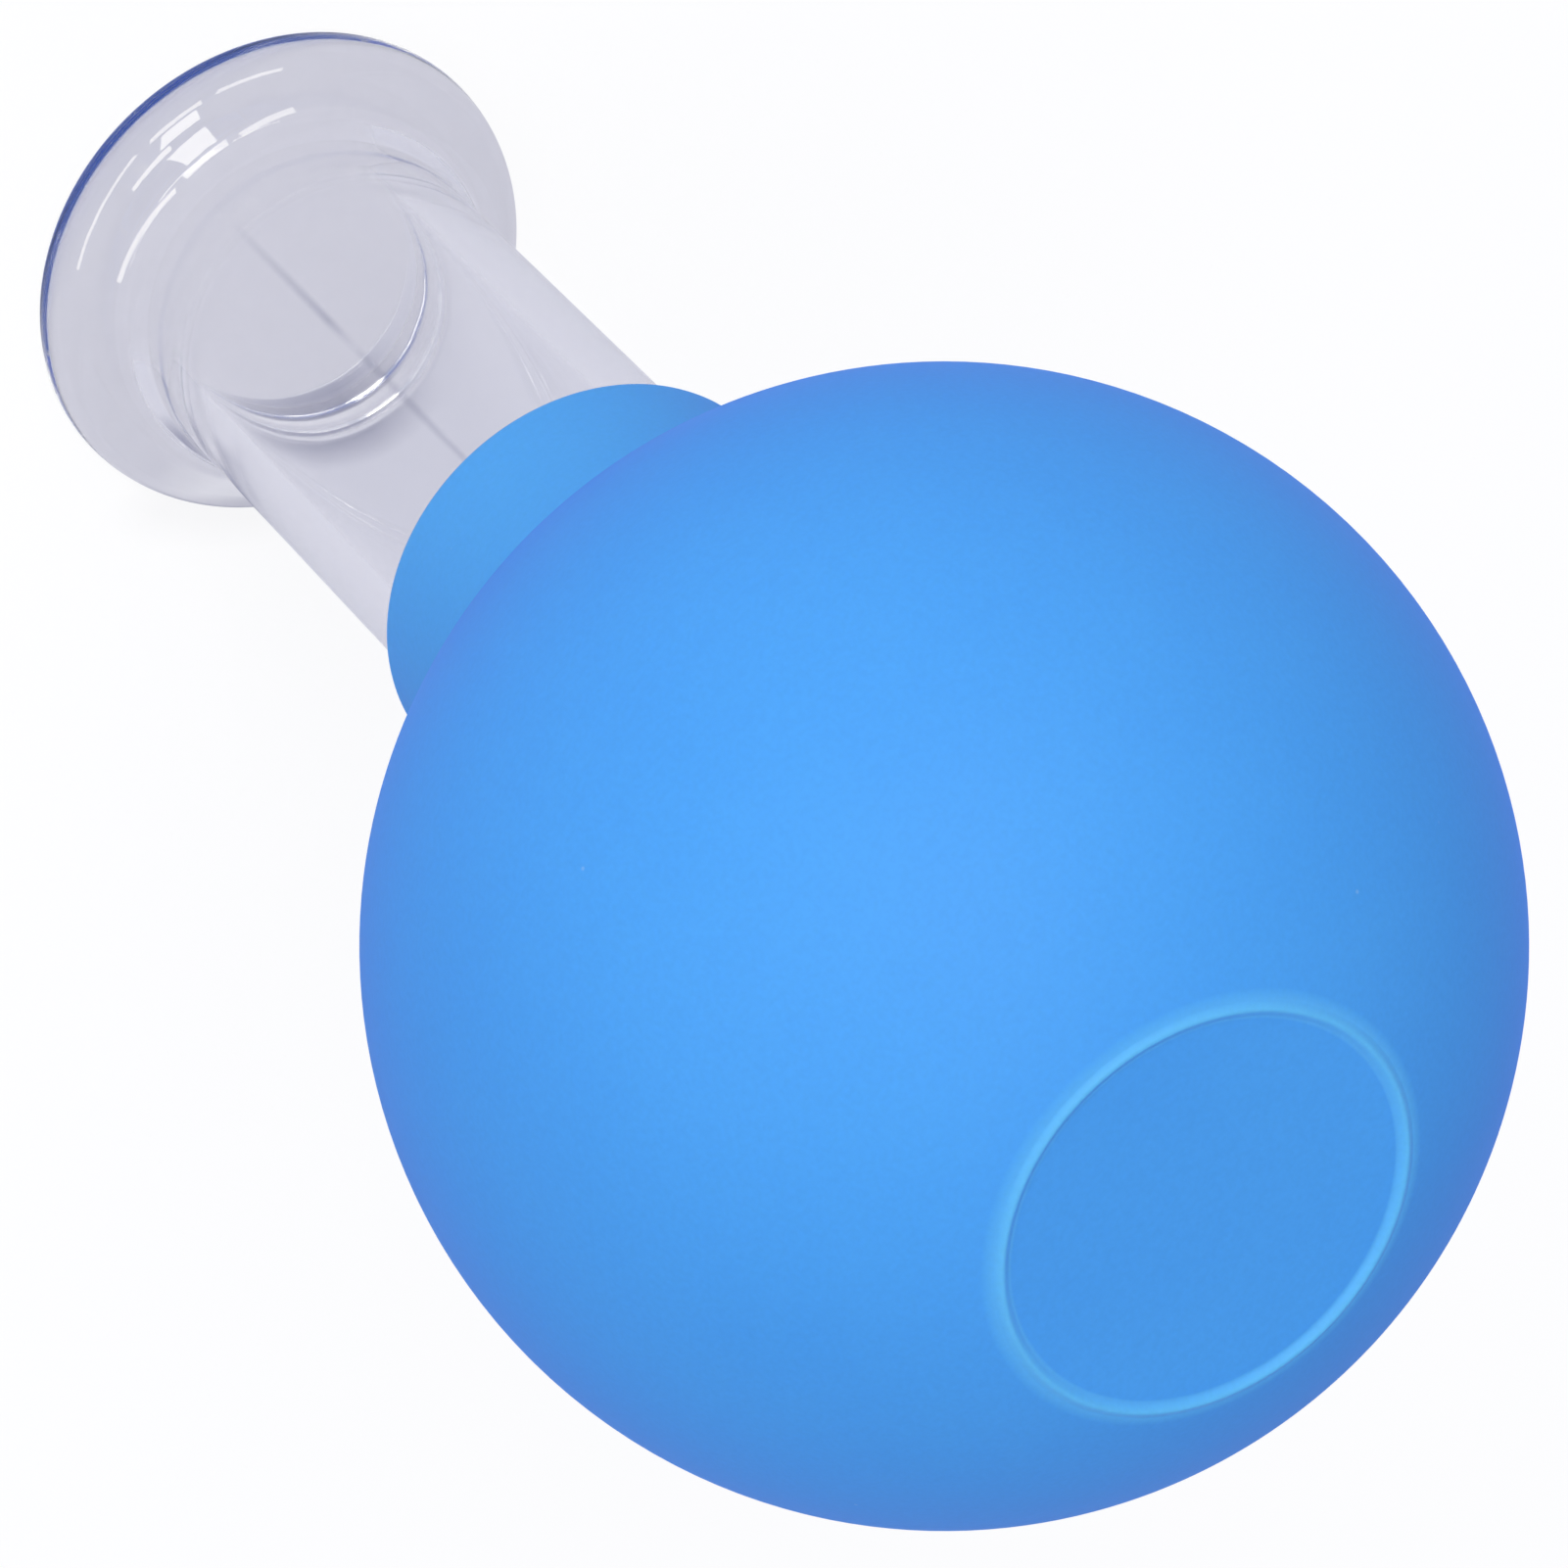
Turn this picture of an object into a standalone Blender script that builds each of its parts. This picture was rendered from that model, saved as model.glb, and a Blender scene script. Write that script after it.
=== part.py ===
"""Squeeze bulb with a clear suction cup: a hollow silicone ball whose collar grips a clear bell's tube.

Metres, +Z up. The part stands on the lip round the cup's mouth, with the ball and its flat base above.
The origin is on the axis, in the plane of the lip.
"""

import math

import bmesh
import bpy

# Clear cup: a shallow bell that narrows to a tube. Slopes are measured from the axis
TUBE_RADIUS = 0.0084
TUBE_WALL = 0.0020
BELL_SLOPE = math.radians(62.5)
BELL_FILLET = 0.00435
BELL_SHOULDER_RADIUS = 0.0024
TUBE_FREE_LENGTH = 0.0270
TUBE_INSERTION = 0.0120
TUBE_END_ROUND = 0.0005

# Mouth: a lip with a narrow land, a conical face, and a throat that curves into the tube's bore
RIM_ROUND = 0.00045
LIP_LAND = 0.0002
FACE_SLOPE = math.radians(77.5)
THROAT_EDGE_ROUND = 0.0013
THROAT_SLOPE = math.radians(23)
THROAT_FILLET = 0.0115

# Ball and collar: one silicone moulding
TUBE_CLEARANCE = 0.0001
COLLAR_WALL = 0.0014
COLLAR_LENGTH = 0.01175
COLLAR_LIP_ROUND = 0.0006
COLLAR_FILLET = 0.0030
BORE_EDGE_ROUND = 0.0006
BALL_RADIUS = 0.0240
BALL_WALL = 0.0022

# Bead round the flat base, and the base itself, which the thumb presses
BEAD_RADIUS = 0.0095
BEAD_WIDTH = 0.0008
BEAD_HEIGHT = 0.0004
BEAD_ROUND = 0.00025
BASE_THICKNESS = 0.0020
BASE_EDGE_ROUND = 0.0003
BASE_CLEARANCE = 0.0003

# Facets round the axis, and along a quarter turn of a large or a small arc
FACETS = 48
LARGE_ARC_STEPS = 13
SMALL_ARC_STEPS = 4

# Edges that turn by more than this are shaded sharp. Points nearer than this are one point
EDGE_ANGLE = math.radians(40)
MERGE_DISTANCE = 1e-6

# Radii and levels that follow from the sizes above
BORE_RADIUS = TUBE_RADIUS + TUBE_CLEARANCE
COLLAR_RADIUS = BORE_RADIUS + COLLAR_WALL
CAVITY_RADIUS = BALL_RADIUS - BALL_WALL
SEAT_RADIUS = BEAD_RADIUS - BEAD_WIDTH
TUBE_BORE_RADIUS = TUBE_RADIUS - TUBE_WALL
RIM_RADIUS = TUBE_RADIUS + (BELL_SHOULDER_RADIUS + BELL_FILLET) * (1 - math.cos(BELL_SLOPE))
FLARE_LEVEL = RIM_ROUND + (BELL_SHOULDER_RADIUS + BELL_FILLET) * math.sin(BELL_SLOPE)
COLLAR_MOUTH_LEVEL = FLARE_LEVEL + TUBE_FREE_LENGTH
TUBE_END_LEVEL = COLLAR_MOUTH_LEVEL + TUBE_INSERTION
BALL_LEVEL = COLLAR_MOUTH_LEVEL + COLLAR_LENGTH + math.sqrt(BALL_RADIUS**2 - COLLAR_RADIUS**2)
BASE_LEVEL = BALL_LEVEL + math.sqrt(BALL_RADIUS**2 - BEAD_RADIUS**2)
BEAD_LEVEL = BASE_LEVEL + BEAD_HEIGHT


def arc(centre, radius, start, end, steps_per_quarter):
    """Points (radius, level) along an arc. Angles, in degrees, run from outward towards +Z."""
    steps = max(2, math.ceil(abs(end - start) / 90 * steps_per_quarter))
    angles = [math.radians(start + (end - start) * step / steps) for step in range(steps + 1)]
    return [(centre[0] + radius * math.cos(a), centre[1] + radius * math.sin(a)) for a in angles]


def neck_blend(ball_radius, neck_radius, blend):
    """Arc from a coaxial neck to the lower half of a sphere, and the angle at which it meets the sphere."""
    centre_radius = neck_radius + blend
    drop = math.sqrt((ball_radius + blend) ** 2 - centre_radius**2)
    lean = math.degrees(math.atan2(drop, centre_radius))
    centre = (centre_radius, BALL_LEVEL - drop)
    return arc(centre, blend, 180, 180 - lean, SMALL_ARC_STEPS), -lean


def rounded_end(inner, outer, level, rounding, side):
    """Two rounded corners and the flat land of a wall's end; side is -1 for a lower end, 1 for an upper."""
    middle = level - side * rounding
    first = arc((inner + rounding, middle), rounding, 180, 180 - side * 90, SMALL_ARC_STEPS)
    second = arc((outer - rounding, middle), rounding, side * 90, 0, SMALL_ARC_STEPS)
    return first + second


def revolve(name, section, closed):
    """Mesh turned about Z from the (radius, level) points of a section."""
    solid = bmesh.new()
    corners = [solid.verts.new((radius, 0.0, level)) for radius, level in section]
    edges = [solid.edges.new(pair) for pair in zip(corners, corners[1:])]
    if closed:
        edges.append(solid.edges.new((corners[-1], corners[0])))
    bmesh.ops.spin(
        solid,
        geom=corners + edges,
        cent=(0.0, 0.0, 0.0),
        axis=(0.0, 0.0, 1.0),
        angle=math.tau,
        steps=FACETS,
        use_merge=True,
    )
    bmesh.ops.remove_doubles(solid, verts=solid.verts, dist=MERGE_DISTANCE)
    bmesh.ops.recalc_face_normals(solid, faces=solid.faces)
    mesh = bpy.data.meshes.new(name)
    solid.to_mesh(mesh)
    solid.free()
    mesh.shade_smooth()
    mesh.set_sharp_from_angle(angle=EDGE_ANGLE)
    return mesh


def add_piece(name, mesh, material, parent, level):
    """Object whose origin is on the axis at a level; its mesh is given in the part's frame."""
    for vertex in mesh.vertices:
        vertex.co.z -= level
    mesh.materials.append(material)
    piece = bpy.data.objects.new(name, mesh)
    piece.parent = parent
    bpy.context.scene.collection.objects.link(piece)
    bpy.context.view_layer.update()
    piece.location.z = level - (parent.matrix_world.translation.z if parent else 0.0)
    return piece


def principled(name, colour, roughness):
    material = bpy.data.materials.new(name)
    material.use_nodes = True
    shader = material.node_tree.nodes["Principled BSDF"]
    shader.inputs["Base Color"].default_value = (*colour, 1.0)
    shader.inputs["Roughness"].default_value = roughness
    shader.inputs["Metallic"].default_value = 0.0
    return material


def clear_plastic():
    material = principled("clear moulded plastic", (0.94, 0.94, 0.97), 0.05)
    shader = material.node_tree.nodes["Principled BSDF"]
    shader.inputs["IOR"].default_value = 1.49
    shader.inputs["Transmission Weight"].default_value = 1.0
    return material


def ball_silicone():
    return principled("moulded blue silicone", (0.069, 0.305, 0.831), 0.55)


def base_silicone():
    return principled("moulded blue silicone of the base", (0.060, 0.270, 0.780), 0.60)


def bell_outside():
    """Shoulder and fillet of the bell, from the rim up to the tube."""
    slope = math.degrees(BELL_SLOPE)
    shoulder_centre = (RIM_RADIUS - BELL_SHOULDER_RADIUS, RIM_ROUND)
    fillet_centre = (TUBE_RADIUS + BELL_FILLET, FLARE_LEVEL)
    shoulder = arc(shoulder_centre, BELL_SHOULDER_RADIUS, 0, slope, LARGE_ARC_STEPS)
    fillet = arc(fillet_centre, BELL_FILLET, 180 + slope, 180, LARGE_ARC_STEPS)
    return shoulder + fillet[1:]


def throat():
    """Edge of the conical face, rounded, and the long curve from it up to the bore."""
    edge_radius = TUBE_BORE_RADIUS + THROAT_FILLET * (1 - math.cos(THROAT_SLOPE))
    edge_radius += THROAT_EDGE_ROUND * math.cos(THROAT_SLOPE)
    face_end = edge_radius - THROAT_EDGE_ROUND * math.cos(FACE_SLOPE)
    face_start = RIM_RADIUS - RIM_ROUND - LIP_LAND
    edge_level = (face_start - face_end) / math.tan(FACE_SLOPE) + THROAT_EDGE_ROUND * math.sin(FACE_SLOPE)
    fillet_level = edge_level + (THROAT_FILLET - THROAT_EDGE_ROUND) * math.sin(THROAT_SLOPE)
    face, slope = math.degrees(FACE_SLOPE), math.degrees(THROAT_SLOPE)
    edge = arc((edge_radius, edge_level), THROAT_EDGE_ROUND, 180 + face, 180 + slope, 2 * SMALL_ARC_STEPS)
    fillet_centre = (TUBE_BORE_RADIUS + THROAT_FILLET, fillet_level)
    fillet = arc(fillet_centre, THROAT_FILLET, 180 + slope, 180, LARGE_ARC_STEPS)
    return edge + fillet[1:]


def cup_section():
    """Lip, outside of the bell and tube, the tube's end, then the bore, the throat and the face."""
    lip = [(RIM_RADIUS - RIM_ROUND - LIP_LAND, 0.0)]
    lip += arc((RIM_RADIUS - RIM_ROUND, RIM_ROUND), RIM_ROUND, -90, 0, SMALL_ARC_STEPS)
    tube_end = rounded_end(TUBE_BORE_RADIUS, TUBE_RADIUS, TUBE_END_LEVEL, TUBE_END_ROUND, 1)
    return lip + bell_outside()[1:] + tube_end[::-1] + throat()[::-1]


def bulb_section():
    """Collar's lip, outside of the collar and ball, bead, then the base's seat, the cavity and the bore."""
    outer_neck, outer_start = neck_blend(BALL_RADIUS, COLLAR_RADIUS, COLLAR_FILLET)
    inner_neck, inner_start = neck_blend(CAVITY_RADIUS, BORE_RADIUS, BORE_EDGE_ROUND)
    outer_end = math.degrees(math.acos(BEAD_RADIUS / BALL_RADIUS))
    inner_end = math.degrees(math.acos(SEAT_RADIUS / CAVITY_RADIUS))
    centre = (0.0, BALL_LEVEL)
    lip = rounded_end(BORE_RADIUS, COLLAR_RADIUS, COLLAR_MOUTH_LEVEL, COLLAR_LIP_ROUND, -1)
    bead = rounded_end(SEAT_RADIUS, BEAD_RADIUS, BEAD_LEVEL, BEAD_ROUND, 1)
    section = lip + outer_neck
    section += arc(centre, BALL_RADIUS, outer_start, outer_end, LARGE_ARC_STEPS)[1:]
    section += bead[::-1]
    section += arc(centre, CAVITY_RADIUS, inner_end, inner_start, LARGE_ARC_STEPS)
    section += inner_neck[-2::-1]
    return section


def base_section():
    """Flat disc in the bead, from its lower middle out to its edge and back to its upper middle."""
    radius = SEAT_RADIUS - BASE_CLEARANCE
    low = BASE_LEVEL - BASE_THICKNESS
    rounding = BASE_EDGE_ROUND
    section = [(0.0, low)]
    section += arc((radius - rounding, low + rounding), rounding, -90, 0, SMALL_ARC_STEPS)
    section += arc((radius - rounding, BASE_LEVEL - rounding), rounding, 0, 90, SMALL_ARC_STEPS)
    section.append((0.0, BASE_LEVEL))
    return section


def build():
    for leftover in list(bpy.data.objects):
        bpy.data.objects.remove(leftover, do_unlink=True)
    cup_mesh = revolve("suction_cup", cup_section(), closed=True)
    cup = add_piece("suction_cup", cup_mesh, clear_plastic(), None, 0.0)
    bulb_mesh = revolve("squeeze_bulb", bulb_section(), closed=True)
    bulb = add_piece("squeeze_bulb", bulb_mesh, ball_silicone(), cup, COLLAR_MOUTH_LEVEL)
    base_mesh = revolve("bulb_base", base_section(), closed=False)
    add_piece("bulb_base", base_mesh, base_silicone(), bulb, BASE_LEVEL)


build()
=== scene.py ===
"""Looks of the squeeze bulb with a clear suction cup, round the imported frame. Metres and degrees, +Z up."""

import math

import bpy
from mathutils import Matrix, Vector


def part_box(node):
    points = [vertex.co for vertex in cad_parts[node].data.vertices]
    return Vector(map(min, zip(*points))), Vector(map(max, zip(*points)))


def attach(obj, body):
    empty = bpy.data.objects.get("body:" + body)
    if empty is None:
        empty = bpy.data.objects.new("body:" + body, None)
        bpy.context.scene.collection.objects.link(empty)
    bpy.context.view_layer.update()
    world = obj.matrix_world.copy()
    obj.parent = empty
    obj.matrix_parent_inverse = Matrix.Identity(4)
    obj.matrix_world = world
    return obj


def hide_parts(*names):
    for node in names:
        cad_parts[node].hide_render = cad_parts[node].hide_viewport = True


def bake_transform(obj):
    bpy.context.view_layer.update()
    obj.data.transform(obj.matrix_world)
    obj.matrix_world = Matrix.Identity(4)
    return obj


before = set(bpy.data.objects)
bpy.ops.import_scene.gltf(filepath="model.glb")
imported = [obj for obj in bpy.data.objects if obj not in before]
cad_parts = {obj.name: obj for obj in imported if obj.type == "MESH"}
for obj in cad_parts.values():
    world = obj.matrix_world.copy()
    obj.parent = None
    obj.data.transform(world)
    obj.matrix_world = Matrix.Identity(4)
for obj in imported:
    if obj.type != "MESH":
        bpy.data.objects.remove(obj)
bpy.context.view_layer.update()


# ---------------------------------------------------------------------------------------------------------
# Squeeze ball. One hollow moulding of soft blue silicone rubber: a sphere with a collar, and a flat base in a
# low bead. It is pressed in a blasted steel mould and pulled off its core, and its collar is stretched over
# the cup's tube. The wall bends when a thumb presses the base, so the piece crosses from bulb to base.
# ---------------------------------------------------------------------------------------------------------

BALL_WALL = 0.0022
BEAD_RADIUS = 0.0095
BEAD_WIDTH = 0.0008
BEAD_ROUNDED_OFF = 0.00018  # the soft bead stays this much lower than the frame's square one
TUBE_RADIUS = 0.0084
TUBE_CLEARANCE = 0.0001  # the frame's collar is turned this much wider than the tube
COLLAR_WALL = 0.0014
COLLAR_GRIP = 0.00004  # the gap left here, where the real collar is stretched tight
COLLAR_LIP_ROUND = 0.00062
COLLAR_FILLET = 0.0030
BORE_EDGE_ROUND = 0.0006

# Fineness of the mesh: points on a ring, steps on each arc, and rings that keep flat and straight faces so.
BALL_SEGMENTS = 192
BALL_STEPS = 120
CAVITY_STEPS = 80
BEAD_STEPS = 24
FILLET_STEPS = 16
ROUND_STEPS = 8
MIDDLE_RING = 0.002
RING_NEAR_BEAD = 0.001
RING_AT_BEAD = 0.0001
FIRST_WALL_RING = 0.0002
WALL_RING_DOUBLINGS = 20
MERGE_DISTANCE = 1e-6
SMOOTH_ANGLE = 50

# Painted light through the rubber: paler on the collar's thin lip and wall and the bead, a glow on the inner
# faces.
COLLAR_PAINTED_LIGHT = 0.45
LIP_FADE = 0.0012
BEAD_EDGE_FADE = 0.0002
BEAD_FOOT_FADE = 0.0003
FACE_FADE = 0.0001
BORE_GLOW_START = 0.001
BORE_GLOW_FULL = 0.003

BLUE_DEEP = "#4599EC"
BLUE_PALE = "#4BA0EF"
# Painted light: this paler blue on the lip, collar and bead stands for light through the thin rubber.
BLUE_PAINTED_LIGHT = "#5CB3F3"
# Painted glow: the inner faces emit this blue for daylight through the wall.
BLUE_PAINTED_GLOW = "#3F8FD8"
BLUE_SHEEN = "#3C66F8"
DUST_COLOUR = "#BFD9F5"
# Strength of that painted glow on the inner faces.
WALL_PAINTED_GLOW = 0.14
PIGMENT_CLOUD = 0.012
MOULD_GRAIN = 0.00025
DUST_SPACING = 0.005
DUST_CORE = 0.00005
DUST_EDGE = 0.00011
COLOUR_A, COLOUR_B, COLOUR_OUT = 6, 7, 2  # places of the colour sockets on a Mix node

bulb_low, bulb_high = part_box("squeeze_bulb")
base_low, base_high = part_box("bulb_base")
ball_radius = (bulb_high[0] - bulb_low[0]) / 2
cavity_radius = ball_radius - BALL_WALL
collar_bore = TUBE_RADIUS + COLLAR_GRIP
collar_radius = TUBE_RADIUS + COLLAR_WALL + TUBE_CLEARANCE
seat_radius = BEAD_RADIUS - BEAD_WIDTH
collar_level = bulb_low[2]
bead_level = bulb_high[2]
base_level = base_high[2]
floor_level = base_low[2]
ball_level = base_level - math.sqrt(ball_radius**2 - BEAD_RADIUS**2)


def arc(centre, radius, start, end, steps):
    """(radius, level) points along an arc; its angles run from the outward direction towards +Z."""
    angles = [math.radians(start + (end - start) * step / steps) for step in range(steps + 1)]
    return [(centre[0] + radius * math.cos(a), centre[1] + radius * math.sin(a)) for a in angles]


def neck(ball, neck_radius, blend, steps):
    """Arc that joins a neck to the lower half of a ball, and the angle at which it meets the ball."""
    centre_radius = neck_radius + blend
    drop = math.sqrt((ball + blend) ** 2 - centre_radius**2)
    lean = math.degrees(math.atan2(drop, centre_radius))
    return arc((centre_radius, ball_level - drop), blend, 180, 180 - lean, steps), -lean


def wall_rings(radius, low, high):
    """Rings on a straight wall, closer and closer towards its ends, so that it stays straight when smooth."""
    steps = [FIRST_WALL_RING * 2**power for power in range(WALL_RING_DOUBLINGS)]
    near = [step for step in steps if step < (high - low) / 2]
    return [(radius, low + step) for step in near] + [(radius, high - step) for step in reversed(near)]


def turn(name, section, segments, closed):
    """A ring is extruded and resized from point to point of a section; an open section's ends are filled."""
    bpy.ops.object.select_all(action="DESELECT")
    radius, level = section[0]
    bpy.ops.mesh.primitive_circle_add(vertices=segments, radius=radius, location=(0, 0, level))
    piece = bpy.context.object
    piece.name = piece.data.name = name
    bpy.ops.object.transform_apply(location=True, rotation=True, scale=True)
    bpy.ops.object.mode_set(mode="EDIT")
    bpy.ops.mesh.select_all(action="SELECT")
    for next_radius, next_level in section[1:] + (section[:1] if closed else []):
        bpy.ops.mesh.extrude_region_move(TRANSFORM_OT_translate={"value": (0, 0, next_level - level)})
        share = next_radius / radius
        bpy.ops.transform.resize(value=(share, share, 1), center_override=(0, 0, next_level))
        radius, level = next_radius, next_level
    bpy.ops.mesh.select_all(action="SELECT")
    bpy.ops.mesh.remove_doubles(threshold=MERGE_DISTANCE)
    bpy.ops.mesh.fill_holes(sides=0)
    bpy.ops.mesh.select_all(action="SELECT")
    bpy.ops.mesh.normals_make_consistent(inside=False)
    bpy.ops.object.mode_set(mode="OBJECT")
    bpy.ops.object.shade_smooth_by_angle(angle=math.radians(SMOOTH_ANGLE))
    return piece


def ball_section():
    """From the middle of the base's outer face, over the bead, ball and collar, to that of its inner face."""
    outer_neck, outer_start = neck(ball_radius, collar_radius, COLLAR_FILLET, FILLET_STEPS)
    inner_neck, inner_start = neck(cavity_radius, collar_bore, BORE_EDGE_ROUND, ROUND_STEPS)
    outer_end = math.degrees(math.acos(BEAD_RADIUS / ball_radius))
    inner_end = math.degrees(math.asin((floor_level - ball_level) / cavity_radius))
    lip_middle = collar_level + COLLAR_LIP_ROUND
    points = [(MIDDLE_RING, base_level)]
    points += [(seat_radius - RING_NEAR_BEAD, base_level), (seat_radius - RING_AT_BEAD, base_level)]
    for step in range(BEAD_STEPS):
        rise = bead_level - BEAD_ROUNDED_OFF - base_level
        rise *= math.sin(math.pi * step / BEAD_STEPS) ** 2
        points.append((seat_radius + BEAD_WIDTH * step / BEAD_STEPS, base_level + rise))
    points += arc((0, ball_level), ball_radius, outer_end, outer_start, BALL_STEPS)
    points += outer_neck[-2::-1]
    points += wall_rings(collar_radius, lip_middle, outer_neck[0][1])[::-1]
    points += arc((collar_radius - COLLAR_LIP_ROUND, lip_middle), COLLAR_LIP_ROUND, 0, -90, ROUND_STEPS)
    points += arc((collar_bore + COLLAR_LIP_ROUND, lip_middle), COLLAR_LIP_ROUND, -90, -180, ROUND_STEPS)
    points += wall_rings(collar_bore, lip_middle, inner_neck[0][1])
    points += inner_neck
    points += arc((0, ball_level), cavity_radius, inner_start, inner_end, CAVITY_STEPS)[1:]
    points += [(seat_radius - RING_NEAR_BEAD, floor_level), (MIDDLE_RING, floor_level)]
    return points


def fade(value, full, none):
    """1 at full, 0 at none, smooth between."""
    share = min(max((value - none) / (full - none), 0.0), 1.0)
    return share * share * (3 - 2 * share)


def mark_painted_light(piece):
    """Point attribute for painted light: how far the colour pales for light through the rubber, most in lip
    and bead.
    """
    painted_light_share = piece.data.attributes.new("thin_rubber_painted_light", "FLOAT", "POINT")
    for point, value in zip(piece.data.vertices, painted_light_share.data):
        radius = math.hypot(point.co.x, point.co.y)
        lip = fade(point.co.z, collar_level, collar_level + LIP_FADE)
        collar = COLLAR_PAINTED_LIGHT * fade(radius, collar_radius, collar_radius + LIP_FADE)
        collar *= point.co.z < ball_level
        bead = fade(radius, BEAD_RADIUS, BEAD_RADIUS + BEAD_EDGE_FADE)
        bead *= fade(point.co.z, base_level + BEAD_EDGE_FADE, base_level - BEAD_FOOT_FADE)
        bead *= fade(radius, seat_radius, seat_radius - RING_AT_BEAD)
        value.value = max(lip, collar, bead)


def mark_inner_face(piece):
    """Point attribute that is 1 on the rubber's inner face, which carries a painted glow for daylight through
    the wall.
    """
    inner = piece.data.attributes.new("inner_face", "FLOAT", "POINT")
    for point, value in zip(piece.data.vertices, inner.data):
        radius = math.hypot(point.co.x, point.co.y)
        depth = math.hypot(radius, point.co.z - ball_level)
        in_bore = fade(radius, collar_bore, collar_bore + FACE_FADE) * (point.co.z < ball_level)
        in_bore *= fade(point.co.z, collar_level + BORE_GLOW_FULL, collar_level + BORE_GLOW_START)
        value.value = max(in_bore, fade(depth, cavity_radius, cavity_radius + FACE_FADE))


def linear(hex_colour):
    """sRGB hex to a linear colour."""
    values = [int(hex_colour[place:place + 2], 16) / 255 for place in (1, 3, 5)]
    return [v / 12.92 if v <= 0.04045 else ((v + 0.055) / 1.055) ** 2.4 for v in values] + [1.0]


def node(tree, kind, values=None, links=None, **settings):
    """Adds a node with its settings, values and incoming links; a socket goes by its name or its place."""
    made = tree.nodes.new(kind)
    for name, value in settings.items():
        setattr(made, name, value)
    for socket, value in (values or {}).items():
        made.inputs[socket].default_value = value
    for socket, source in (links or {}).items():
        tree.links.new(source, made.inputs[socket])
    return made


def blue_silicone():
    """Silicone rubber, compression moulded: satin from the mould's blasted steel, a little translucent.

    The grain is that of the blasting, drawn at 0.25 mm. Pigment clouds are some 12 mm wide, and pale specks
    of dust, 0.2 mm across, cling to the rubber about 5 mm apart. The thin lip and bead are painted paler, as
    painted light for what comes through them, and the inner faces carry a painted glow. The sheen is a deep
    blue, as light that grazes the ball comes back from inside the rubber.
    """
    material = bpy.data.materials.new("silicone rubber, compression moulded, blue")
    material.use_nodes = True
    tree = material.node_tree
    shader = tree.nodes["Principled BSDF"]
    place = node(tree, "ShaderNodeTexCoord").outputs["Object"]
    painted_light_share = node(tree, "ShaderNodeAttribute", attribute_name="thin_rubber_painted_light").outputs["Fac"]
    inner = node(tree, "ShaderNodeAttribute", attribute_name="inner_face").outputs["Fac"]
    # Painted glow: the inner faces emit blue for daylight through the wall.
    painted_glow = node(tree, "ShaderNodeMath", {1: WALL_PAINTED_GLOW}, {0: inner}, operation="MULTIPLY")
    clouds = node(tree, "ShaderNodeTexNoise", {"Scale": 1 / PIGMENT_CLOUD, "Detail": 3.0}, {"Vector": place})
    grain = node(tree, "ShaderNodeTexNoise", {"Scale": 1 / MOULD_GRAIN, "Detail": 2.0}, {"Vector": place})
    body = node(tree, "ShaderNodeMix", {COLOUR_A: linear(BLUE_DEEP), COLOUR_B: linear(BLUE_PALE)},
                {"Factor": clouds.outputs["Fac"]}, data_type="RGBA")
    # Painted light: paler blue where light comes through the thin rubber.
    lit = node(tree, "ShaderNodeMix", {COLOUR_B: linear(BLUE_PAINTED_LIGHT)},
               {"Factor": painted_light_share, COLOUR_A: body.outputs[COLOUR_OUT]}, data_type="RGBA")
    speckle = node(tree, "ShaderNodeMapRange", {"To Min": 0.94, "To Max": 1.06},
                   {"Value": grain.outputs["Fac"]})
    grained = node(tree, "ShaderNodeMix", {"Factor": 1.0},
                   {COLOUR_A: lit.outputs[COLOUR_OUT], COLOUR_B: speckle.outputs["Result"]},
                   data_type="RGBA", blend_type="MULTIPLY")
    cells = node(tree, "ShaderNodeTexVoronoi", {"Scale": 1 / DUST_SPACING}, {"Vector": place})
    dust = node(tree, "ShaderNodeMapRange",
                {"From Min": DUST_EDGE / DUST_SPACING, "From Max": DUST_CORE / DUST_SPACING,
                 "To Min": 0.0, "To Max": 0.22},
                {"Value": cells.outputs["Distance"]})
    dusty = node(tree, "ShaderNodeMix", {COLOUR_B: linear(DUST_COLOUR)},
                 {"Factor": dust.outputs["Result"], COLOUR_A: grained.outputs[COLOUR_OUT]}, data_type="RGBA")
    matt = node(tree, "ShaderNodeMapRange", {"To Min": 0.52, "To Max": 0.62},
                {"Value": clouds.outputs["Fac"]})
    bump = node(tree, "ShaderNodeBump", {"Strength": 0.25, "Distance": 0.00002},
                {"Height": grain.outputs["Fac"]})
    tree.links.new(dusty.outputs[COLOUR_OUT], shader.inputs["Base Color"])
    tree.links.new(matt.outputs["Result"], shader.inputs["Roughness"])
    tree.links.new(bump.outputs["Normal"], shader.inputs["Normal"])
    tree.links.new(painted_glow.outputs["Value"], shader.inputs["Emission Strength"])
    shader.inputs["Emission Color"].default_value = linear(BLUE_PAINTED_GLOW)
    shader.inputs["Specular IOR Level"].default_value = 0.3
    shader.inputs["IOR"].default_value = 1.41
    shader.inputs["Subsurface Weight"].default_value = 0.2
    shader.inputs["Subsurface Radius"].default_value = (0.5, 0.8, 1.0)
    shader.inputs["Subsurface Scale"].default_value = 0.0015
    shader.inputs["Sheen Weight"].default_value = 0.38
    shader.inputs["Sheen Roughness"].default_value = 0.45
    shader.inputs["Sheen Tint"].default_value = linear(BLUE_SHEEN)
    return material


bulb = turn("silicone_bulb", ball_section(), BALL_SEGMENTS, closed=False)
mark_painted_light(bulb)
mark_inner_face(bulb)
bulb.data.materials.append(blue_silicone())
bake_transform(bulb)
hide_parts("squeeze_bulb", "bulb_base")


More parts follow.
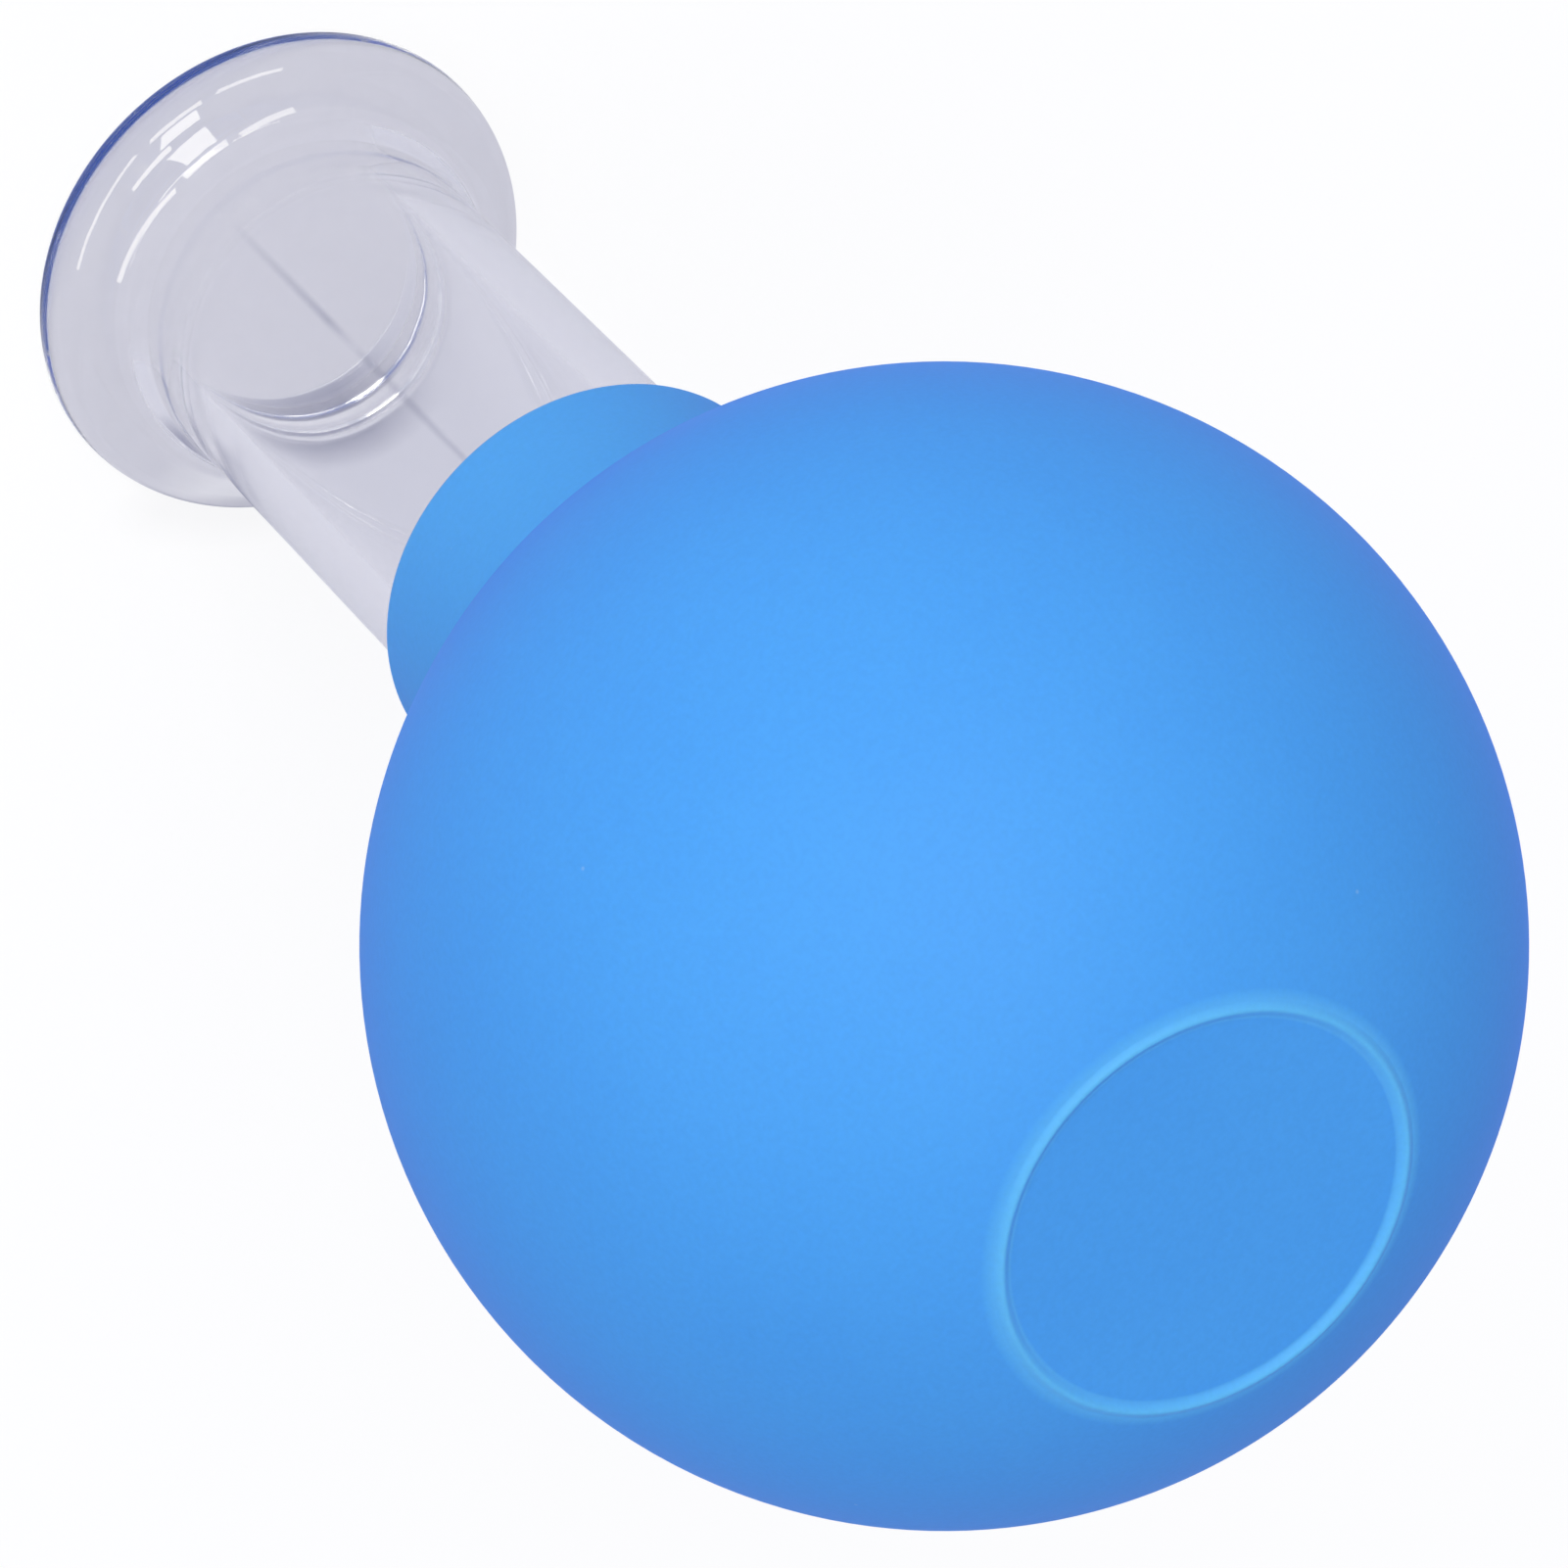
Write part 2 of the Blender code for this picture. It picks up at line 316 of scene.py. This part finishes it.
# ---------------------------------------------------------------------------------------------------------
# Suction cup. One thick-walled moulding of clear acrylic: a tube that opens into a shallow bell with a
# rounded lip. It is polished, and a fine darker line runs down the front and back of the tube. The
# silicone collar grips its plain end.
# ---------------------------------------------------------------------------------------------------------

TUBE_WALL = 0.0020
TUBE_END_ROUND = 0.0005
BELL_SLOPE = 62.5
BELL_FILLET = 0.00435
BELL_SHOULDER_RADIUS = 0.0024
RIM_ROUND = 0.00045
LIP_LAND = 0.0002
FACE_SLOPE = 77.5
THROAT_EDGE_ROUND = 0.0013
THROAT_SLOPE = 23.0
THROAT_FILLET = 0.0115

# Fineness of the mesh: points on a ring, and steps on each arc.
CUP_SEGMENTS = 256
RIM_STEPS = 10
SHOULDER_STEPS = 32
BELL_FILLET_STEPS = 40
TUBE_END_STEPS = 8
THROAT_EDGE_STEPS = 20
THROAT_FILLET_STEPS = 36

CLEAR_CAST = "#FDFDFE"
# A darker line down the front and back of the tube: its colour, half width, and strength by level.
DARK_LINE_CAST = "#D3D4DE"
DARK_LINE_HALF_WIDTH = 0.00030
DARK_LINE_STRENGTH = (  # level on the tube, and how dark the line is there
    (0.008, 0.2),
    (0.0175, 0.9),
    (0.019, 0.1),
    (0.0215, 0.55),
    (0.026, 0.5),
    (0.032, 0.0),
)
SCUFF_WIDTH = 0.0006
SCUFF_STRETCH = 0.12
FLOW_WIDTH = 0.004

cup_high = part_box("suction_cup")[1]
tube_end = cup_high[2]
rim_radius = cup_high[0]
tube_bore = TUBE_RADIUS - TUBE_WALL
flare_level = RIM_ROUND + (BELL_SHOULDER_RADIUS + BELL_FILLET) * math.sin(math.radians(BELL_SLOPE))


def bell_outside():
    """Shoulder and fillet of the bell, from the rim up to the tube."""
    shoulder_centre = (rim_radius - BELL_SHOULDER_RADIUS, RIM_ROUND)
    fillet_centre = (TUBE_RADIUS + BELL_FILLET, flare_level)
    shoulder = arc(shoulder_centre, BELL_SHOULDER_RADIUS, 0, BELL_SLOPE, SHOULDER_STEPS)
    return shoulder + arc(fillet_centre, BELL_FILLET, 180 + BELL_SLOPE, 180, BELL_FILLET_STEPS)[1:]


def throat():
    """Edge of the conical face, rounded, and the long curve from it up to the bore."""
    face, slope = math.radians(FACE_SLOPE), math.radians(THROAT_SLOPE)
    edge_radius = tube_bore + THROAT_FILLET * (1 - math.cos(slope)) + THROAT_EDGE_ROUND * math.cos(slope)
    face_width = rim_radius - RIM_ROUND - LIP_LAND - edge_radius + THROAT_EDGE_ROUND * math.cos(face)
    edge_level = face_width / math.tan(face) + THROAT_EDGE_ROUND * math.sin(face)
    fillet_level = edge_level + (THROAT_FILLET - THROAT_EDGE_ROUND) * math.sin(slope)
    edge_centre = (edge_radius, edge_level)
    edge = arc(edge_centre, THROAT_EDGE_ROUND, 180 + FACE_SLOPE, 180 + THROAT_SLOPE, THROAT_EDGE_STEPS)
    centre = (tube_bore + THROAT_FILLET, fillet_level)
    return edge + arc(centre, THROAT_FILLET, 180 + THROAT_SLOPE, 180, THROAT_FILLET_STEPS)[1:]


def cup_section():
    """Lip, outside of the bell and tube, the tube's end, then the bore, the throat and the face."""
    inside = throat()
    crown = tube_end - TUBE_END_ROUND
    points = [(rim_radius - RIM_ROUND - LIP_LAND, 0.0)]
    points += arc((rim_radius - RIM_ROUND, RIM_ROUND), RIM_ROUND, -90, 0, RIM_STEPS)
    points += bell_outside()[1:]
    points += wall_rings(TUBE_RADIUS, flare_level, crown)
    points += arc((TUBE_RADIUS - TUBE_END_ROUND, crown), TUBE_END_ROUND, 0, 90, TUBE_END_STEPS)
    points += arc((tube_bore + TUBE_END_ROUND, crown), TUBE_END_ROUND, 90, 180, TUBE_END_STEPS)
    points += wall_rings(tube_bore, inside[-1][1], crown)[::-1]
    points += inside[::-1]
    face_middle = (inside[0][0] + points[0][0]) / 2, inside[0][1] / 2
    return points + [face_middle]


def clear_acrylic():
    """Acrylic, injection moulded clear: polished, with a faint lavender cast and hairline scuffs.

    A soft darker line runs down the front and back of the tube, 0.6 mm wide at its foot, its strength by
    level listed. Scuffs run along the tube, drawn about 0.6 mm wide so that they show, and the flow of the
    melt leaves the walls very slightly wavy, 4 mm from wave to wave.
    """
    material = bpy.data.materials.new("acrylic, injection moulded, clear")
    material.use_nodes = True
    tree = material.node_tree
    shader = tree.nodes["Principled BSDF"]
    place = node(tree, "ShaderNodeTexCoord").outputs["Object"]
    axes = node(tree, "ShaderNodeSeparateXYZ", links={"Vector": place}).outputs
    # The darker line lies where X is near zero, on the front and back of the tube.
    aside = node(tree, "ShaderNodeMath", {}, {0: axes["X"]}, operation="ABSOLUTE")
    line = node(tree, "ShaderNodeMapRange", {"From Min": DARK_LINE_HALF_WIDTH, "From Max": 0.0},
                {"Value": aside.outputs["Value"]}, interpolation_type="SMOOTHSTEP")
    along = node(tree, "ShaderNodeMapRange", {"From Min": flare_level, "From Max": tube_end},
                 {"Value": axes["Z"]})
    line_strength = node(tree, "ShaderNodeValToRGB", {}, {"Fac": along.outputs["Result"]})
    ramp = line_strength.color_ramp.elements
    ramp[0].color = ramp[1].color = (0.0, 0.0, 0.0, 1.0)
    for level, strength in DARK_LINE_STRENGTH:
        stop = ramp.new((level - flare_level) / (tube_end - flare_level))
        stop.color = (strength, strength, strength, 1.0)
    dark_line = node(tree, "ShaderNodeMath", {}, {0: line.outputs["Result"], 1: line_strength.outputs["Color"]},
                   operation="MULTIPLY")
    tint = node(tree, "ShaderNodeMix", {COLOUR_A: linear(CLEAR_CAST), COLOUR_B: linear(DARK_LINE_CAST)},
                {"Factor": dark_line.outputs["Value"]}, data_type="RGBA")
    stretch = node(tree, "ShaderNodeMapping", {"Scale": (1.0, 1.0, SCUFF_STRETCH)}, {"Vector": place})
    scuffs = node(tree, "ShaderNodeTexNoise", {"Scale": 1 / SCUFF_WIDTH, "Detail": 4.0, "Distortion": 0.6},
                  {"Vector": stretch.outputs["Vector"]})
    worn = node(tree, "ShaderNodeMapRange",
                {"From Min": 0.62, "From Max": 0.80, "To Min": 0.02, "To Max": 0.12},
                {"Value": scuffs.outputs["Fac"]})
    flow = node(tree, "ShaderNodeTexNoise", {"Scale": 1 / FLOW_WIDTH, "Detail": 1.0}, {"Vector": place})
    bump = node(tree, "ShaderNodeBump", {"Strength": 0.1, "Distance": 0.00005},
                {"Height": flow.outputs["Fac"]})
    tree.links.new(tint.outputs[COLOUR_OUT], shader.inputs["Base Color"])
    tree.links.new(worn.outputs["Result"], shader.inputs["Roughness"])
    tree.links.new(bump.outputs["Normal"], shader.inputs["Normal"])
    shader.inputs["IOR"].default_value = 1.49
    shader.inputs["Transmission Weight"].default_value = 1.0
    return material


cup = turn("clear_cup", cup_section(), CUP_SEGMENTS, closed=True)
cup.data.materials.append(clear_acrylic())
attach(cup, "cup")
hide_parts("suction_cup")


# ---------------------------------------------------------------------------------------------------------
# Studio. White paper in an even pale room. Three low softboxes draw the streaks on the bell, a window and
# one overhead draw its patches, and a wide weak one behind fills the shade. Through the clear plastic, paper
# and room show in the paper's own pale tone.
# ---------------------------------------------------------------------------------------------------------

PAPER_SIZE = 6.0
PAPER_GAP = 0.0001  # the paper lies this far under the lip
PAPER_FIBRE = 0.001
PAPER_TONE = "#DEDEEA"
WHITE_GLOW = 1.06  # with the paper's own light, this adds up to plain white
SEEN_WHITE = 0.85  # share of plain white in what the camera sees of the paper
SEEN_THROUGH = 0.66  # share of the plain paper tone in what the clear plastic shows
PALE_RING = "#F4F4FC"
LIP_SHADE = "#9C9DB4"
RINGS_REACH = 0.0150
RINGS_ON_PAPER = (  # distance from the axis, and the colour there
    (0.0086, PAPER_TONE),
    (0.0092, PALE_RING),
    (0.0108, PALE_RING),
    (0.0112, LIP_SHADE),
    (0.0132, LIP_SHADE),
)
RINGS_FROM_Y, RINGS_FULL_Y = 0.0030, 0.0055
RINGS_FROM_X, RINGS_FULL_X = -0.0028, 0.0035
RINGS_LEAST = 0.05  # how much of the rings shows on the -X side
ROOM_LIGHT = 0.38
ROOM_TINT = (0.80, 0.88, 1.12, 1.0)
LAMP_TINT = (1.0, 0.97, 0.82)
LAMP_DISTANCE = 0.6
SOFTBOXES = (  # name, azimuth, elevation, seen width, seen height, radiance
    ("streak_right", 33, 30, 44, 6, 6.5),
    ("streak_middle", -12, 31, 22, 8, 7),
    ("streak_left", -45, 29, 24, 7, 6),
    ("window", -13, 50, 14, 22, 8.5),
    ("overhead", 12, 70, 14, 10, 8),
)
FILL = ("fill", 140, 45, 60, 60, 0.5)  # lights the far side, with no reflection of its own


def white_paper():
    """Uncoated paper: matt. The camera sees nearly all of it as plain white, with a soft shadow on it.

    The cup's thick lip shades the paper under it and gathers a paler ring inside. Both are painted on the
    paper, on its +Y half, and more and more towards +X.
    """
    material = bpy.data.materials.new("paper, uncoated, white")
    material.use_nodes = True
    tree = material.node_tree
    shader = tree.nodes["Principled BSDF"]
    place = node(tree, "ShaderNodeTexCoord").outputs["Object"]
    axes = node(tree, "ShaderNodeSeparateXYZ", links={"Vector": place}).outputs
    out = node(tree, "ShaderNodeVectorMath", {}, {0: place}, operation="LENGTH")
    share = node(tree, "ShaderNodeMapRange", {"From Min": 0.0, "From Max": RINGS_REACH},
                 {"Value": out.outputs["Value"]})
    ring = node(tree, "ShaderNodeValToRGB", {}, {"Fac": share.outputs["Result"]})
    ring.color_ramp.elements[0].color = ring.color_ramp.elements[1].color = linear(PAPER_TONE)
    for radius, colour in RINGS_ON_PAPER:
        ring.color_ramp.elements.new(radius / RINGS_REACH).color = linear(colour)
    back = node(tree, "ShaderNodeMapRange", {"From Min": RINGS_FROM_Y, "From Max": RINGS_FULL_Y},
                {"Value": axes["Y"]})
    side = node(tree, "ShaderNodeMapRange",
                {"From Min": RINGS_FROM_X, "From Max": RINGS_FULL_X, "To Min": RINGS_LEAST, "To Max": 1.0},
                {"Value": axes["X"]})
    half = node(tree, "ShaderNodeMath", {}, {0: back.outputs["Result"], 1: side.outputs["Result"]},
                operation="MULTIPLY")
    shaded = node(tree, "ShaderNodeMix", {COLOUR_A: linear(PAPER_TONE)},
                  {"Factor": half.outputs["Value"], COLOUR_B: ring.outputs["Color"]}, data_type="RGBA")
    fibre = node(tree, "ShaderNodeTexNoise", {"Scale": 1 / PAPER_FIBRE}, {"Vector": place})
    lightness = node(tree, "ShaderNodeMapRange", {"To Min": 0.98, "To Max": 1.02},
                     {"Value": fibre.outputs["Fac"]})
    tone = node(tree, "ShaderNodeMix", {"Factor": 1.0},
                {COLOUR_A: shaded.outputs[COLOUR_OUT], COLOUR_B: lightness.outputs["Result"]},
                data_type="RGBA", blend_type="MULTIPLY")
    tree.links.new(tone.outputs[COLOUR_OUT], shader.inputs["Base Color"])
    shader.inputs["Roughness"].default_value = 0.9
    shader.inputs["Specular IOR Level"].default_value = 0.0
    rays = node(tree, "ShaderNodeLightPath").outputs
    through = node(tree, "ShaderNodeMath", {}, {0: rays["Is Transmission Ray"], 1: rays["Is Glossy Ray"]},
                   operation="MAXIMUM")
    in_plastic = node(tree, "ShaderNodeMath", {1: SEEN_THROUGH}, {0: through.outputs["Value"]},
                      operation="MULTIPLY")
    direct = node(tree, "ShaderNodeMath", {1: SEEN_WHITE}, {0: rays["Is Camera Ray"]}, operation="MULTIPLY")
    toned = node(tree, "ShaderNodeEmission", {"Strength": 1.0}, {"Color": tone.outputs[COLOUR_OUT]})
    white = node(tree, "ShaderNodeEmission", {"Strength": WHITE_GLOW})
    lit = node(tree, "ShaderNodeMixShader", {},
               {0: in_plastic.outputs["Value"], 1: shader.outputs["BSDF"], 2: toned.outputs["Emission"]})
    seen = node(tree, "ShaderNodeMixShader", {},
                {0: direct.outputs["Value"], 1: lit.outputs["Shader"], 2: white.outputs["Emission"]})
    tree.links.new(seen.outputs["Shader"], tree.nodes["Material Output"].inputs["Surface"])
    return material


def white_room():
    """Even light from all round. The camera sees it white, and the clear plastic shows the paper's tone."""
    room = bpy.data.worlds.new("white room")
    room.use_nodes = True
    tree = room.node_tree
    rays = node(tree, "ShaderNodeLightPath").outputs
    light = node(tree, "ShaderNodeBackground", {"Color": ROOM_TINT, "Strength": ROOM_LIGHT})
    toned = node(tree, "ShaderNodeBackground", {"Color": linear(PAPER_TONE), "Strength": 1.0})
    white = node(tree, "ShaderNodeBackground", {"Color": linear("#FFFFFF"), "Strength": 1.0})
    through = node(tree, "ShaderNodeMath", {}, {0: rays["Is Transmission Ray"], 1: rays["Is Glossy Ray"]},
                   operation="MAXIMUM")
    in_plastic = node(tree, "ShaderNodeMath", {1: SEEN_THROUGH}, {0: through.outputs["Value"]},
                      operation="MULTIPLY")
    lit = node(tree, "ShaderNodeMixShader", {},
               {0: in_plastic.outputs["Value"], 1: light.outputs["Background"],
                2: toned.outputs["Background"]})
    seen = node(tree, "ShaderNodeMixShader", {},
                {0: rays["Is Camera Ray"], 1: lit.outputs["Shader"], 2: white.outputs["Background"]})
    tree.links.new(seen.outputs["Shader"], tree.nodes["World Output"].inputs["Surface"])
    return room


def softbox(name, azimuth, elevation, width, height, radiance):
    """Rectangular lamp aimed at the cup. Azimuth runs from -Y to +X; width and height are seen angles."""
    heading, lift = math.radians(azimuth), math.radians(elevation)
    outwards = math.cos(lift)
    away = Vector((outwards * math.sin(heading), -outwards * math.cos(heading), math.sin(lift)))
    light = bpy.data.lights.new(name, "AREA")
    light.shape = "RECTANGLE"
    light.color = LAMP_TINT
    light.size = 2 * LAMP_DISTANCE * math.tan(math.radians(width / 2))
    light.size_y = 2 * LAMP_DISTANCE * math.tan(math.radians(height / 2))
    light.energy = math.pi * light.size * light.size_y * radiance
    lamp = bpy.data.objects.new(name, light)
    along = Vector((0, 0, 1)).cross(away).normalized()
    facing = Matrix((along, away.cross(along), away)).transposed().to_4x4()
    lamp.matrix_world = Matrix.Translation(Vector((0, 0, flare_level)) + LAMP_DISTANCE * away) @ facing
    bpy.context.scene.collection.objects.link(lamp)
    return lamp


bpy.ops.object.select_all(action="DESELECT")
bpy.ops.mesh.primitive_plane_add(size=PAPER_SIZE, location=(0, 0, -PAPER_GAP))
paper = bpy.context.object
paper.name = "paper_floor"
paper.data.materials.append(white_paper())

bpy.context.scene.world = white_room()
for box in SOFTBOXES:
    softbox(*box)
fill = softbox(*FILL)
fill.visible_glossy = False
fill.visible_transmission = False


# ---------------------------------------------------------------------------------------------------------
# Camera. It stands in front and looks down on the base at about 50 degrees, rolled so that the cup points to
# the upper left. Light crosses the thick clear walls many times, so paths are allowed more bounces.
# ---------------------------------------------------------------------------------------------------------

TILT = math.radians(40.18)
ROLL = math.radians(45.45)
DISTANCE_IN_RADII = 15.676
BALL_RIGHT_OF_MIDDLE = 0.01745  # off the view's middle, per unit of distance
BALL_BELOW_MIDDLE = 0.01766
FOCAL_LENGTH_MM = 210.0
SENSOR_WIDTH_MM = 36.0
NEAREST_SEEN = 0.01
PATH_BOUNCES = 32

forward = Vector((0, math.sin(TILT), -math.cos(TILT)))
level_up = Vector((0, math.cos(TILT), math.sin(TILT)))
level_right = Vector((1, 0, 0))
right = math.cos(ROLL) * level_up - math.sin(ROLL) * level_right
up = -math.sin(ROLL) * level_up - math.cos(ROLL) * level_right
to_ball = BALL_RIGHT_OF_MIDDLE * right - BALL_BELOW_MIDDLE * up + forward
eye = Vector((0, 0, ball_level)) - DISTANCE_IN_RADII * ball_radius * to_ball.normalized()

camera_data = bpy.data.cameras.new("camera")
camera_data.lens = FOCAL_LENGTH_MM
camera_data.sensor_width = SENSOR_WIDTH_MM
camera_data.clip_start = NEAREST_SEEN
camera = bpy.data.objects.new("camera", camera_data)
camera.matrix_world = Matrix.Translation(eye) @ Matrix((right, up, -forward)).transposed().to_4x4()
scene = bpy.context.scene
scene.collection.objects.link(camera)
scene.camera = camera
scene.view_settings.view_transform = "Standard"
scene.cycles.max_bounces = PATH_BOUNCES
scene.cycles.transmission_bounces = PATH_BOUNCES
scene.cycles.glossy_bounces = PATH_BOUNCES
